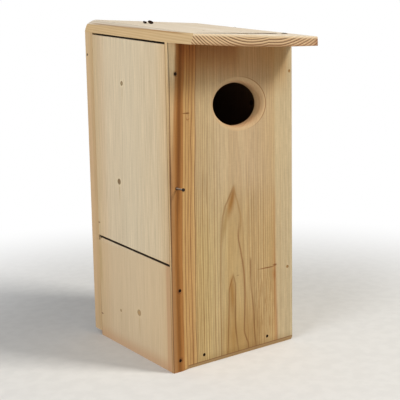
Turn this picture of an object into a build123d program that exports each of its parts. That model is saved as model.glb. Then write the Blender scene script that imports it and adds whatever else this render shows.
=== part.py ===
from build123d import *
import math
import os

os.makedirs("parts", exist_ok=True)

# Nesting box for wood ducks.  Millimetres, +Z up.  Seen from the front (looking along +Y)
# +X is to the right.  The origin is under the middle of the whole box, roof included.

# ---- Boards ----
box_width = 275.0            # front board, edge to edge
box_depth = 287.0            # front face to back face
front_height = 563.0         # front board at its front face
roof_slope = 6.7             # degrees, falling towards the front
front_thickness = 22.0
side_thickness = 22.0
back_thickness = 28.0
floor_thickness = 22.0
eased_edge = 1.2             # worn arris on the outside edges

# ---- Roof board ----
roof_thickness = 19.0        # at the front end
roof_rear_gain = 6.0         # the board is this much thicker at its rear end
roof_overhang = 68.0         # roof past the front face, at the underside
roof_rear_run = 30.0         # planed-off rear edge, along the top
roof_rear_drop = 17.0        # and down the end
left_edge_lean = 4.5         # upper edges stand in from the lower ones
right_edge_lean = 3.0
worn_left_width = 11.0       # upper edges, planed down towards the rear: in from the board's edge
worn_left_drop = 10.0        # and down from the top, both at the rear end
worn_right_width = 36.0
worn_right_drop = 6.0
nose_left_lift = 1.8         # underside's front corners, planed up
nose_right_lift = 2.8
nose_lift_width = 90.0

# ---- Joints between the boards ----
front_lip = 6.0              # thin edge of the front board that covers the side boards' ends
shoulder_gap = 0.6           # side boards to the rabbet's shoulder
cut_height = 187.0           # lower side panel, at the front face
cut_slope = 2.9              # degrees, the panel cut climbs towards the back
cut_gap = 3.2                # between the lower panel and the door
back_lift = 8.0              # the back board stops this far above the other boards' ends
floor_lift = 7.0             # floor's underside above the boards' ends
corner_chip = (16.0, 8.0, 5.0)   # lower panel's broken corner: along, down and into the board

# ---- Front board's lower end, its front arris planed off ----
end_bevel_places = (20.0, 34.0)                  # from the left edge: its start, its full height
end_bevel_rises = (0.3, 7.0, 8.8)                # up the face: there and at the right edge
end_bevel_run_share = 0.48   # depth on the end, of the height up the face

# ---- Entrance ----
entrance_width = 104.8
entrance_height = 76.2
entrance_round = 10.0        # rounded outer rim
entrance_inner_round = 2.5
entrance_offset = 11.3       # right of the board's middle
entrance_drop = 105.0        # centre below the front board's top

# ---- Door ----
door_top_gap = 3.0           # under the roof
door_end_gap = 0.45          # to the front lip and the back board
pivot_inset = 16.0           # pivot nails, in from the box's left face
pivot_drop = 51.0            # pivot nails below the front board's top
pivot_running_gap = 0.08     # door turns on the nails, on the radius
swing_clearance = 1.2        # round the door's top end where it swings inside

# ---- Nails ----
nail_length = 50.0
nail_shank_radius = 1.4
nail_head_radius = 2.9
nail_head_thickness = 1.0
nail_point = 4.0
nail_set = 0.5               # heads driven below the surface
nail_fit = 0.04              # hole over shank, on the radius
left_nail_insets = (15.7, 13.7)                  # in from the left face, upper and lower nail
left_nail_drop = 43.0        # upper nail below the lower panel's top
left_nail_rise = 20.0        # lower nail above the boards' ends
right_nail_insets = (6.8, 13.0)                  # in from the right face
right_nail_drop = 48.0       # upper nail below the front board's top
right_nail_rise = 147.0      # lower nail above the boards' ends
floor_nail_inset = 64.5      # from the box's side faces
floor_nail_lifts = (1.0, 3.0)                    # above the floor's middle, left and right nail
back_nail_margin = 50.0      # back board's outer nails into the right side, from its ends
roof_nail_inset = 42.0       # outer nails over the back board, in from the roof's edges
roof_nail_margin = 10.0      # nails over the front board, clear of its pocket and rabbet
roof_nail_front = 11.0       # behind the front face
roof_nail_back = 24.0        # ahead of the back face
roof_side_nails = (-60.0, 50.0)                  # along the right side board
proud_nails = (              # short nails in the roof alone: across, along the depth, head's radius
    (-71.0, 68.0, 3.5),
    (-62.5, 61.5, 5.2),
)
proud_length = 20.0
proud_lean = 30.0            # degrees, heads towards the front
proud_gap = 0.1              # head's lower edge over the roof

# ---- Latch nail ----
latch_inset = 14.0           # in from the box's left face
latch_rise = 134.0           # above the lower panel's top, at the front face
latch_stand = 20.0           # head above the front face when pulled out
latch_travel = 16.0          # pushed into the door's edge
latch_shank_radius = 1.5
latch_head_radius = 2.9
latch_head_thickness = 1.2
latch_tip_back = 0.4         # tip short of the lip's inner face when pulled out
latch_running_gap = 0.08
latch_hole_spare = 1.0       # hole past the tip when pushed in

# ---- Duckling ladder ----
mesh_pitch = 12.7
mesh_wire = 1.4
mesh_columns = 8
mesh_above_floor = 6.0
mesh_below_entrance = 10.0   # least gap; the mesh ends on a whole square
staple_wire = 1.2
staple_crown = 10.0
staple_leg = 9.0
staple_end_rows = 2          # squares past the outermost staples, at each end
staple_stand_off = 0.15      # wire to mesh

# ---- Floor holes ----
post_screw_spacing = 57.0    # four screws down into a post under the floor
post_screw_radius = 2.75
drain_radius = 4.75
drain_inset = 30.0           # from the floor's edges

# ---- Worked out from the sizes above ----
slope = math.radians(roof_slope)
slope_rise = math.tan(slope)
overall_depth = box_depth + roof_overhang + roof_thickness * math.sin(slope)
roof_length = (box_depth + roof_overhang) / math.cos(slope)
shoulder = side_thickness + shoulder_gap      # rabbet's width in the front board

x_left = -box_width / 2
x_right = box_width / 2
y_back = overall_depth / 2
y_front = y_back - box_depth
y_lip = y_front + front_lip                   # side boards' front ends
y_front_inner = y_front + front_thickness
y_back_inner = y_back - back_thickness
x_left_inner = x_left + side_thickness
x_right_inner = x_right - side_thickness
floor_top = floor_lift + floor_thickness

entrance_level = front_height - entrance_drop
pivot_x = x_left + pivot_inset
pivot_level = front_height - pivot_drop
latch_x = x_left + latch_inset
latch_level = cut_height + latch_rise


def roof_under(y):
    """Height of the roof's underside at y."""
    return front_height + (y - y_front) * slope_rise


def roof_thickness_at(y):
    """The roof board's thickness above y, square to its underside."""
    from_nose = (y - y_front + roof_overhang) / math.cos(slope)
    return roof_thickness + roof_rear_gain * from_nose / roof_length


def cut_line(y):
    """Top edge of the lower side panel at y."""
    return cut_height + (y - y_front) * math.tan(math.radians(cut_slope))


def door_top(y):
    return roof_under(y) - door_top_gap


pivot_to_door_top = door_top(y_front_inner) - pivot_level
pocket_radius = math.hypot(pivot_inset, pivot_to_door_top) + swing_clearance
roof_front_left = pivot_x + pocket_radius + roof_nail_margin
roof_front_right = x_right - shoulder - roof_nail_margin
roof_front_across = (roof_front_left, (roof_front_left + roof_front_right) / 2, roof_front_right)
roof_back_across = (x_left + roof_nail_inset, x_right - roof_nail_inset)


def from_front(x, z):
    """A nail's place on the front face, driven towards the back."""
    return Location((x, y_front, z), (90, 0, 0))


def from_back(x, z):
    return Location((x, y_back, z), (-90, 0, 0))


def from_roof(x, y):
    """A nail's place on the roof above y, driven square to the slope."""
    top_y = y - roof_thickness_at(y) * math.sin(slope)
    top_z = roof_under(y) + roof_thickness_at(y) * math.cos(slope)
    return Location((x, top_y, top_z), (roof_slope, 0, 0))


def proud_place(across, y, head_radius):
    """A leaning nail's place on the roof, where its head's lower edge just clears the wood."""
    lean = math.radians(proud_lean)
    stand = head_radius * math.sin(lean) + nail_head_thickness * math.cos(lean) + proud_gap
    return from_roof(across, y) * Location((0, 0, stand), (proud_lean, 0, 0))


# The ladder's mesh lies against the front board's inner face, its staples across upright wires
ladder_bottom = floor_top + mesh_above_floor
ladder_width = mesh_columns * mesh_pitch
entrance_bottom = entrance_level - entrance_height / 2
mesh_rows = math.floor((entrance_bottom - mesh_below_entrance - ladder_bottom) / mesh_pitch)
ladder_height = mesh_rows * mesh_pitch
ladder_left = entrance_offset - ladder_width / 2
staple_inner_y = y_front_inner + mesh_wire + staple_stand_off
staple_rows = (staple_end_rows, mesh_rows // 2, mesh_rows - 1 - staple_end_rows)
staple_columns = (1, mesh_columns - 1)
staple_places = [
    (ladder_left + column * mesh_pitch, ladder_bottom + (row + 0.5) * mesh_pitch)
    for row in staple_rows
    for column in staple_columns
]
staple_leg_places = [(x + side * staple_crown / 2, z) for x, z in staple_places for side in (-1, 1)]

# Every nail's place, named for the boards that it holds
left_levels = (cut_height - left_nail_drop, left_nail_rise)
right_levels = (front_height - right_nail_drop, right_nail_rise)
back_levels = (
    back_lift + back_nail_margin,
    (back_lift + roof_under(y_back_inner)) / 2,
    roof_under(y_back_inner) - back_nail_margin,
)
floor_nails_x = (x_left + floor_nail_inset, x_right - floor_nail_inset)
floor_nail_levels = [floor_lift + floor_thickness / 2 + lift for lift in floor_nail_lifts]
floor_pairs = list(zip(floor_nails_x, floor_nail_levels))
left_pairs = list(zip(left_nail_insets, left_levels))
right_pairs = list(zip(right_nail_insets, right_levels))
front_left_places = [from_front(x_left + inset, level) for inset, level in left_pairs]
front_right_places = [from_front(x_right - inset, level) for inset, level in right_pairs]
front_floor_places = [from_front(x, level) for x, level in floor_pairs]
back_left_places = [from_back(x_left + inset, level) for inset, level in left_pairs]
back_right_places = [from_back(x_right - side_thickness / 2, level) for level in back_levels]
back_floor_places = [from_back(x, level) for x, level in floor_pairs]
roof_front_places = [from_roof(x, y_front + roof_nail_front) for x in roof_front_across]
roof_back_places = [from_roof(x, y_back - roof_nail_back) for x in roof_back_across]
roof_side_places = [from_roof(x_right - side_thickness / 2, y) for y in roof_side_nails]
pivot_places = [from_front(pivot_x, pivot_level), from_back(pivot_x, pivot_level)]
proud_places = [proud_place(*nail) for nail in proud_nails]
latch_place = from_front(latch_x, latch_level)


def drill(radius, depth):
    """Cut a round hole inwards from each place in use."""
    Cylinder(
        radius,
        depth,
        align=(Align.CENTER, Align.CENTER, Align.MAX),
        mode=Mode.SUBTRACT,
    )


def build_nail(length, head_radius):
    """One nail, head up, its length along -Z."""
    with BuildPart() as nail:
        with BuildSketch(Plane.XZ):
            with BuildLine():
                Polyline(
                    (0, 0),
                    (head_radius, 0),
                    (head_radius, -nail_head_thickness),
                    (nail_shank_radius, -nail_head_thickness),
                    (nail_shank_radius, nail_point - length),
                    (0, -length),
                    close=True,
                )
            make_face()
        revolve(axis=Axis.Z)
    return nail.part


# The hole that a driven nail leaves, its head below the surface
with BuildPart() as nail_hole:
    Cylinder(
        nail_shank_radius + nail_fit,
        nail_set + nail_length + nail_fit,
        align=(Align.CENTER, Align.CENTER, Align.MAX),
    )
    Cylinder(
        nail_head_radius + nail_fit,
        nail_set + nail_head_thickness + nail_fit,
        align=(Align.CENTER, Align.CENTER, Align.MAX),
    )

nail_cut = nail_hole.part
driven_nail = build_nail(nail_length, nail_head_radius).moved(Location((0, 0, -nail_set)))
proud_shapes = [build_nail(proud_length, head_radius) for _, _, head_radius in proud_nails]

# ---- Front board, rabbeted for the side boards ----
with BuildPart() as front_board:
    with BuildSketch(Plane.YZ.offset(x_left)):
        Polygon(
            (y_front, 0),
            (y_front_inner, 0),
            (y_front_inner, roof_under(y_front_inner)),
            (y_front, roof_under(y_front)),
            align=None,
        )
    extrude(amount=box_width)
    front_corners = front_board.edges().filter_by(Axis.Z).group_by(Axis.Y)[0]
    fillet(front_corners, eased_edge)
    with BuildSketch(Plane.XY):
        with Locations(
            (x_left + shoulder / 2, (y_lip + y_front_inner) / 2),
            (x_right - shoulder / 2, (y_lip + y_front_inner) / 2),
        ):
            Rectangle(shoulder, front_thickness - front_lip)
    extrude(amount=2 * front_height, mode=Mode.SUBTRACT)
    # Room for the door's top end, which swings inside as the door opens
    with BuildSketch(Plane.XZ.offset(-y_front_inner)):
        with Locations((pivot_x, pivot_level)):
            Circle(pocket_radius)
    extrude(amount=front_thickness - front_lip, mode=Mode.SUBTRACT)
    with BuildSketch(Plane.XZ.offset(-y_front)):
        with Locations((entrance_offset, entrance_level)):
            Ellipse(entrance_width / 2, entrance_height / 2)
    extrude(amount=-front_thickness, mode=Mode.SUBTRACT)
    rims = front_board.edges().filter_by(GeomType.ELLIPSE).sort_by(Axis.Y)
    fillet(rims[0], entrance_round)
    inner_rim = front_board.edges().filter_by(GeomType.ELLIPSE).sort_by(Axis.Y)[-1]
    fillet(inner_rim, entrance_inner_round)
    # The bevel is cut by a wedge whose sections reach past the board's face and end
    for across, rise in zip((*end_bevel_places, box_width), end_bevel_rises):
        run = rise * end_bevel_run_share
        with BuildSketch(Plane.YZ.offset(x_left + across)):
            Polygon(
                (y_front - run, 2 * rise),
                (y_front - run, -rise),
                (y_front + 2 * run, -rise),
                align=None,
            )
    loft(ruled=True, mode=Mode.SUBTRACT)
    with Locations(*front_left_places, *front_right_places, *front_floor_places, *roof_front_places):
        add(nail_cut, mode=Mode.SUBTRACT)
    with Locations(pivot_places[0]):
        add(nail_cut, mode=Mode.SUBTRACT)
    with Locations(latch_place):
        drill(latch_shank_radius + latch_running_gap, front_lip)
    # Slots that the staples' legs fill
    with BuildSketch(Plane.XZ.offset(-y_front_inner)):
        with Locations(*staple_leg_places):
            Rectangle(staple_wire + 2 * nail_fit, staple_wire + 2 * nail_fit)
    extrude(amount=staple_leg + nail_fit, mode=Mode.SUBTRACT)

front_board.part.label = "front_board"
export_step(front_board.part, "parts/front_board.step")

# ---- Back board ----
with BuildPart() as back_board:
    with BuildSketch(Plane.YZ.offset(x_left)):
        Polygon(
            (y_back_inner, back_lift),
            (y_back, back_lift),
            (y_back, roof_under(y_back)),
            (y_back_inner, roof_under(y_back_inner)),
            align=None,
        )
    extrude(amount=box_width)
    back_corners = back_board.edges().filter_by(Axis.Z)
    fillet(back_corners, eased_edge)
    with Locations(*back_left_places, *back_right_places, *back_floor_places, *roof_back_places):
        add(nail_cut, mode=Mode.SUBTRACT)
    with Locations(pivot_places[1]):
        add(nail_cut, mode=Mode.SUBTRACT)

back_board.part.label = "back_board"
export_step(back_board.part, "parts/back_board.step")

# ---- Right side board, one piece ----
with BuildPart() as right_side_panel:
    with BuildSketch(Plane.YZ.offset(x_right_inner)):
        Polygon(
            (y_lip, 0),
            (y_back_inner, 0),
            (y_back_inner, roof_under(y_back_inner)),
            (y_lip, roof_under(y_lip)),
            align=None,
        )
    extrude(amount=side_thickness)
    outer_face = right_side_panel.faces().sort_by(Axis.X)[-1]
    fillet(outer_face.edges().sort_by(Axis.Y)[-1], eased_edge)
    with Locations(*front_right_places, *back_right_places, *roof_side_places):
        add(nail_cut, mode=Mode.SUBTRACT)

right_side_panel.part.label = "right_side_panel"
export_step(right_side_panel.part, "parts/right_side_panel.step")

# ---- Left side: fixed panel below, door above ----
with BuildPart() as side_lower_panel:
    with BuildSketch(Plane.YZ.offset(x_left)):
        Polygon(
            (y_lip, 0),
            (y_back_inner, 0),
            (y_back_inner, cut_line(y_back_inner)),
            (y_lip, cut_line(y_lip)),
            align=None,
        )
    extrude(amount=side_thickness)
    outer_face = side_lower_panel.faces().sort_by(Axis.X)[0]
    fillet(outer_face.edges().sort_by(Axis.Z)[-1], eased_edge)
    chip_along, chip_down, chip_into = corner_chip
    with BuildSketch(Plane.YZ.offset(x_left)):
        Polygon(
            (y_back_inner, cut_line(y_back_inner)),
            (y_back_inner - chip_along, cut_line(y_back_inner - chip_along)),
            (y_back_inner, cut_line(y_back_inner) - chip_down),
            align=None,
        )
    extrude(amount=chip_into, taper=20, mode=Mode.SUBTRACT)
    with Locations(*front_left_places, *back_left_places):
        add(nail_cut, mode=Mode.SUBTRACT)

side_lower_panel.part.label = "side_lower_panel"
export_step(side_lower_panel.part, "parts/side_lower_panel.step")

door_front = y_lip + door_end_gap
door_back = y_back_inner - door_end_gap
pivot_depth = nail_set + nail_length + pivot_running_gap
latch_hole_depth = front_lip - latch_tip_back + latch_travel + latch_hole_spare
with BuildPart() as side_door:
    with BuildSketch(Plane.YZ.offset(x_left)):
        Polygon(
            (door_front, cut_line(door_front) + cut_gap),
            (door_back, cut_line(door_back) + cut_gap),
            (door_back, door_top(door_back)),
            (door_front, door_top(door_front)),
            align=None,
        )
    extrude(amount=side_thickness)
    outer_face = side_door.faces().sort_by(Axis.X)[0]
    fillet(outer_face.edges().sort_by(Axis.Y)[1:], eased_edge)
    with Locations(*pivot_places):
        drill(nail_shank_radius + pivot_running_gap, pivot_depth)
    with Locations(latch_place):
        drill(latch_shank_radius + latch_running_gap, latch_hole_depth)

side_door.part.label = "side_door"
export_step(side_door.part, "parts/side_door.step")

# ---- Floor, held between the boards ----
floor_width = x_right_inner - x_left_inner
floor_depth = y_back_inner - y_front_inner
floor_middle = (y_back_inner + y_front_inner) / 2
with BuildPart() as floor:
    with BuildSketch(Plane.XY.offset(floor_lift)):
        with Locations((0, floor_middle)):
            Rectangle(floor_width, floor_depth)
    extrude(amount=floor_thickness)
    with Locations((0, floor_middle, floor_top)):
        with GridLocations(post_screw_spacing, post_screw_spacing, 2, 2):
            Hole(post_screw_radius)
        with GridLocations(floor_width - 2 * drain_inset, floor_depth - 2 * drain_inset, 2, 2):
            Hole(drain_radius)
    with Locations(*front_floor_places, *back_floor_places):
        add(nail_cut, mode=Mode.SUBTRACT)

floor.part.label = "floor"
export_step(floor.part, "parts/floor.step")

# ---- Roof board ----
roof_nose = Vector(x_left, y_front - roof_overhang, roof_under(y_front - roof_overhang))
uphill = Vector(0, math.cos(slope), math.sin(slope))
roof_side = Plane(origin=roof_nose, x_dir=uphill, z_dir=(1, 0, 0))
round_from = roof_length - roof_rear_run       # the top's rear end, where the round starts
round_height = roof_thickness + roof_rear_gain * round_from / roof_length


def on_roof(along, across, up):
    """A point on the roof board: from its front end, from its left edge, above its underside."""
    return roof_side.from_local_coords(Vector(along, up, across))


def cut_plane(first, second, third):
    """The plane through three points of the roof, in on_roof's terms; its back side is kept."""
    origin = on_roof(*first)
    normal = (on_roof(*second) - origin).cross(on_roof(*third) - origin)
    return Plane(origin=origin, z_dir=normal)


rear_thickness = roof_thickness + roof_rear_gain
left_edge = cut_plane(
    (0, 0, 0),
    (0, left_edge_lean, roof_thickness),
    (roof_length, 0, 0),
)
right_edge = cut_plane(
    (0, box_width, 0),
    (roof_length, box_width, 0),
    (0, box_width - right_edge_lean, roof_thickness),
)
worn_left_foot = rear_thickness - worn_left_drop
worn_left = cut_plane(
    (0, left_edge_lean, roof_thickness),
    (roof_length, worn_left_width, rear_thickness),
    (roof_length, left_edge_lean * worn_left_foot / roof_thickness, worn_left_foot),
)
worn_right = cut_plane(
    (0, box_width - right_edge_lean, roof_thickness),
    (roof_length, box_width, rear_thickness - worn_right_drop),
    (roof_length, box_width - worn_right_width, rear_thickness),
)
left_corner = cut_plane(
    (0, 0, nose_left_lift),
    (roof_overhang, 0, 0),
    (0, nose_lift_width, 0),
)
right_corner = cut_plane(
    (0, box_width, nose_right_lift),
    (0, box_width - nose_lift_width, 0),
    (roof_overhang, box_width, 0),
)
with BuildPart() as roof:
    with BuildSketch(roof_side):
        with BuildLine():
            Polyline(
                (roof_length, round_height - roof_rear_drop),
                (roof_length, 0),
                (0, 0),
                (0, roof_thickness),
                (round_from, round_height),
            )
            EllipticalCenterArc(
                (round_from, round_height - roof_rear_drop),
                roof_rear_run,
                roof_rear_drop,
                start_angle=0,
                arc_size=90,
            )
        make_face()
    extrude(amount=box_width)
    nose_face = roof.faces().sort_by(Axis.Y)[0]
    fillet(nose_face.edges(), eased_edge)
    for cut in (left_edge, right_edge, worn_left, worn_right, left_corner, right_corner):
        split(bisect_by=cut, keep=Keep.BOTTOM)
    with Locations(*roof_front_places, *roof_back_places, *roof_side_places):
        add(nail_cut, mode=Mode.SUBTRACT)
    with Locations(*proud_places):
        drill(nail_shank_radius + nail_fit, proud_length + nail_fit)

roof.part.label = "roof"
export_step(roof.part, "parts/roof.step")

# ---- Duckling ladder of square wire mesh, flat against the front board ----
with BuildPart() as ladder_mesh:
    with BuildSketch(Plane.XZ.offset(-y_front_inner)):
        with Locations((entrance_offset, ladder_bottom + ladder_height / 2)):
            Rectangle(ladder_width + mesh_wire, ladder_height + mesh_wire)
            with GridLocations(mesh_pitch, mesh_pitch, mesh_columns, mesh_rows):
                Rectangle(mesh_pitch - mesh_wire, mesh_pitch - mesh_wire, mode=Mode.SUBTRACT)
    extrude(amount=-mesh_wire)

ladder_mesh.part.label = "ladder_mesh"
export_step(ladder_mesh.part, "parts/ladder_mesh.step")

staple_outer_half = (staple_crown + staple_wire) / 2
staple_inner_half = (staple_crown - staple_wire) / 2
staple_outer_y = staple_inner_y + staple_wire
staple_tip_y = y_front_inner - staple_leg
with BuildPart() as ladder_staples:
    for place_x, place_z in staple_places:
        with BuildSketch(Plane.XY.offset(place_z - staple_wire / 2)):
            with Locations((place_x, 0)):
                Polygon(
                    (-staple_outer_half, staple_tip_y),
                    (-staple_outer_half, staple_outer_y),
                    (staple_outer_half, staple_outer_y),
                    (staple_outer_half, staple_tip_y),
                    (staple_inner_half, staple_tip_y),
                    (staple_inner_half, staple_inner_y),
                    (-staple_inner_half, staple_inner_y),
                    (-staple_inner_half, staple_tip_y),
                    align=None,
                )
        extrude(amount=staple_wire)

ladder_staples.part.label = "ladder_staples"
export_step(ladder_staples.part, "parts/ladder_staples.step")

# ---- Nails, one node for each row of them ----
nail_groups = {
    "door_pivot_nails": pivot_places,
    "front_left_nails": front_left_places,
    "front_right_nails": front_right_places,
    "front_floor_nails": front_floor_places,
    "back_left_nails": back_left_places,
    "back_right_nails": back_right_places,
    "back_floor_nails": back_floor_places,
    "roof_front_nails": roof_front_places,
    "roof_back_nails": roof_back_places,
    "roof_side_nails": roof_side_places,
}
for group_name, places in nail_groups.items():
    with BuildPart() as nails:
        with Locations(*places):
            add(driven_nail)
    nails.part.label = group_name
    export_step(nails.part, f"parts/{group_name}.step")

with BuildPart() as roof_proud_nails:
    for place, shape in zip(proud_places, proud_shapes):
        with Locations(place):
            add(shape)

roof_proud_nails.part.label = "roof_proud_nails"
export_step(roof_proud_nails.part, "parts/roof_proud_nails.step")

# ---- Latch nail, pulled out at rest; its length runs along -Z until it is placed ----
latch_tip = latch_tip_back - front_lip
with BuildPart() as latch_shape:
    with BuildSketch(Plane.XZ):
        with BuildLine():
            Polyline(
                (0, latch_stand),
                (latch_head_radius, latch_stand),
                (latch_head_radius, latch_stand - latch_head_thickness),
                (latch_shank_radius, latch_stand - latch_head_thickness),
                (latch_shank_radius, latch_tip + nail_point),
                (0, latch_tip),
                close=True,
            )
        make_face()
    revolve(axis=Axis.Z)

with BuildPart() as latch_nail:
    with Locations(latch_place):
        add(latch_shape.part)

latch_nail.part.label = "latch_nail"
export_step(latch_nail.part, "parts/latch_nail.step")
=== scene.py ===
import math

import bmesh
import bpy
from mathutils import Matrix, Vector


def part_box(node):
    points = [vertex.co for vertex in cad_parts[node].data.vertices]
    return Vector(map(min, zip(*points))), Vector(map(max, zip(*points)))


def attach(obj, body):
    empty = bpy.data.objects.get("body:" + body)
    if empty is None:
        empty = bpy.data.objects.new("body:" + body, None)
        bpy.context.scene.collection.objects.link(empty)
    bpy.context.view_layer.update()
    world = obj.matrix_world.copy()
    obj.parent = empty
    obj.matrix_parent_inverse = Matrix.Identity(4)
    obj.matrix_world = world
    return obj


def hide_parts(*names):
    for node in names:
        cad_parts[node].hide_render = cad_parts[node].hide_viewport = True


# A nesting box of bare pine boards and nails on a pale studio floor

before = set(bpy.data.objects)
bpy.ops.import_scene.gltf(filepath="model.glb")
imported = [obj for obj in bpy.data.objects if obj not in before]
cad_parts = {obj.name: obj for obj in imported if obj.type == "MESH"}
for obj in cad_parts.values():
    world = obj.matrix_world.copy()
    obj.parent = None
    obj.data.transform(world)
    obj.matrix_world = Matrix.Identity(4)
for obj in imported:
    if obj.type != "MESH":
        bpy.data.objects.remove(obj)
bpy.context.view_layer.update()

MM = 0.001                    # the model is in metres

# ---- The boards' places, read from the model ----
front_low, front_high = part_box("front_board")
_, back_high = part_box("back_board")
door_low, door_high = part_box("side_door")
_, right_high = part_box("right_side_panel")
floor_low, floor_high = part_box("floor")
roof_low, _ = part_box("roof")
mesh_low, mesh_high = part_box("ladder_mesh")
latch_low, latch_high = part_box("latch_nail")
latch_middle = (latch_low + latch_high) / 2

# The space that the boards close in, a hair larger, so that their inner faces count as inside
CAVITY_MARGIN = 0.3 * MM
side_thickness = door_high.x - door_low.x
inset = side_thickness - CAVITY_MARGIN
inside_low = Vector((front_low.x + inset, floor_low.y - CAVITY_MARGIN, 0))
inside_high = Vector((front_high.x - inset, floor_high.y + CAVITY_MARGIN, 0))

# Directions, as someone facing the entrance has them
UP, DOWN = (0, 0, 1), (0, 0, -1)
RIGHT, LEFT = (1, 0, 0), (-1, 0, 0)
REARWARD, FORWARD = (0, 1, 0), (0, -1, 0)

# ---- Camera: left of the entrance, level with it, looking slightly down ----
EYE = Vector((-821.4, -1158.1, 505.7)) * MM
EYE_TURN = 36.03              # degrees to the right of straight at the front
EYE_TILT = 7.31               # degrees down
EYE_ROLL = -0.96              # degrees; its right side is a little lower
SENSOR = 36.0                 # the sensor's width in millimetres
PICTURE = 400                 # the picture's width, in the pixels that the next three are in
FOCAL_LENGTH = 757.6
LENS_SLIDE = -8.2             # the lens's axis, from the picture's middle
LENS_RISE = -25.5


def build_camera():
    """Aims the eye, tilts it and rolls it, then slides the lens to frame the whole box."""
    turn, tilt, roll = (math.radians(angle) for angle in (EYE_TURN, EYE_TILT, EYE_ROLL))
    ahead = Vector((math.sin(turn), math.cos(turn), 0)) * math.cos(tilt)
    ahead.z = -math.sin(tilt)
    level_right = ahead.cross(Vector(UP)).normalized()
    level_up = level_right.cross(ahead)
    right = level_right * math.cos(roll) + level_up * math.sin(roll)
    up = level_up * math.cos(roll) - level_right * math.sin(roll)
    lens = bpy.data.cameras.new("camera")
    lens.sensor_width = SENSOR
    lens.lens = SENSOR * FOCAL_LENGTH / PICTURE
    lens.shift_x = LENS_SLIDE / PICTURE
    lens.shift_y = LENS_RISE / PICTURE
    camera = bpy.data.objects.new("camera", lens)
    bpy.context.scene.collection.objects.link(camera)
    axes = Matrix((right, up, -ahead)).transposed().to_4x4()
    camera.matrix_world = Matrix.Translation(EYE) @ axes
    bpy.context.scene.camera = camera


# ---- Helpers for materials and meshes ----
def linear(hex_colour):
    """An sRGB hex colour, such as c8a878, as linear red, green, blue and alpha."""
    channels = [int(hex_colour[i : i + 2], 16) / 255 for i in (0, 2, 4)]
    curve = [c / 12.92 if c <= 0.04045 else ((c + 0.055) / 1.055) ** 2.4 for c in channels]
    return (*curve, 1.0)


def add(tree, kind, inputs=None, stops=None, blend=None, **settings):
    """Adds a node of a kind, such as Math or Bump.

    An input is a value, a node or a socket, and stops are a ramp's places and levels or colours.
    """
    made = tree.nodes.new("ShaderNode" + kind)
    for name, value in settings.items():
        setattr(made, name, value)
    for key, value in (inputs or {}).items():
        if isinstance(value, bpy.types.Node):
            value = value.outputs[0]
        if isinstance(value, bpy.types.NodeSocket):
            tree.links.new(value, made.inputs[key])
        else:
            made.inputs[key].default_value = value
    if stops:
        ramp = made.color_ramp
        ramp.interpolation = blend or "LINEAR"
        while len(ramp.elements) < len(stops):
            ramp.elements.new(0.5)
        for element, (place, level) in zip(ramp.elements, stops):
            element.position = place
            element.color = linear(level) if isinstance(level, str) else (level, level, level, 1)
    return made


def empty_tree(owner):
    """The emptied node tree of a material or the world."""
    owner.use_nodes = True
    owner.node_tree.nodes.clear()
    return owner.node_tree


def build_piece(name, mesh, material):
    """Puts a finished mesh into the scene as one object of one material."""
    shape = bpy.data.meshes.new(name)
    mesh.to_mesh(shape)
    mesh.free()
    shape.materials.append(material)
    piece = bpy.data.objects.new(name, shape)
    bpy.context.scene.collection.objects.link(piece)
    return piece


# ---- Pine ----
# Every board is cut from a round log. Each year's ring is a broad pale early layer that darkens
# into a thin hard brown line. Where the cut runs across the rings they show as straight lines,
# where it runs along them as tall pointed flames, and on a board's end as arcs.
# Patterns along the board are worked out over LENGTH and across it over WIDTH, in millimetres.
LENGTH = 650.0
WIDTH = 290.0
# A patch that runs off a board has its limit beyond the foot, the top or the right edge
BELOW, ABOVE, BEYOND = -50.0, 700.0, 400.0
NOISE_LOW, NOISE_HIGH = 0.3, 0.7         # noise seldom leaves this span
GRAIN_DEPTH = 0.12            # how far late wood stands proud, in millimetres
FUZZ_SHARE = 0.6              # the sawn fibres' height, as a share of that
SHADE_BLACK = "1c1008"         # painted shade: near black, for gaps and holes that no light reaches


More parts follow.
